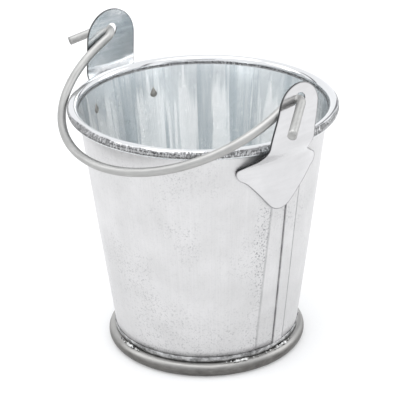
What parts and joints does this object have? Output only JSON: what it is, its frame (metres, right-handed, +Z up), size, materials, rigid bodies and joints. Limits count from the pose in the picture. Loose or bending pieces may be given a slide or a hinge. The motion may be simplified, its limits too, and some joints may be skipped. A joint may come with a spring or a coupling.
{
  "type": "florist bucket",
  "caption": "Small tapered tin pail for cut flowers, with a rolled rim, a wire foot hoop, two pressed ears and a swinging wire bail.",
  "frame": {"origin": "centre of the foot hoop's resting plane, on the axis of the pail", "axes": "+Z up along the pail's axis, X along the bail's hinge line from ear to ear, with the lowered bail on the -Y side"},
  "size_m": [0.1285, 0.1033, 0.1192],
  "materials": {
    "wall_sheet": "bright galvanised, finely mottled outside and glossy inside",
    "rim_wire": "plain drawn wire, hidden in the rolled rim",
    "floor_sheet": "bright galvanised",
    "hoop_wire": "dull satin galvanised wire",
    "solder": "rough matt solder",
    "ear_sheet": "glossy galvanised",
    "weld": "burnt dark spot weld",
    "bail_wire": "satin galvanised wire"
  },
  "bodies": {
    "bucket": {"body_sheet": "wall_sheet", "rim_wire": "rim_wire", "bottom_pan": "floor_sheet", "foot_hoop": "hoop_wire", "foot_solder": "solder", "ear_right": "ear_sheet", "ear_left": "ear_sheet", "ear_welds_right": "weld", "ear_welds_left": "weld"},
    "bail": {"bail": "bail_wire"}
  },
  "joints": [
    {"name": "bail_swing", "type": "hinge", "parent": "bucket", "child": "bail", "pos_m": [0, -0.00135, 0.111], "axis": [-1, 0, 0], "range_deg": [0, 224]}
  ]
}
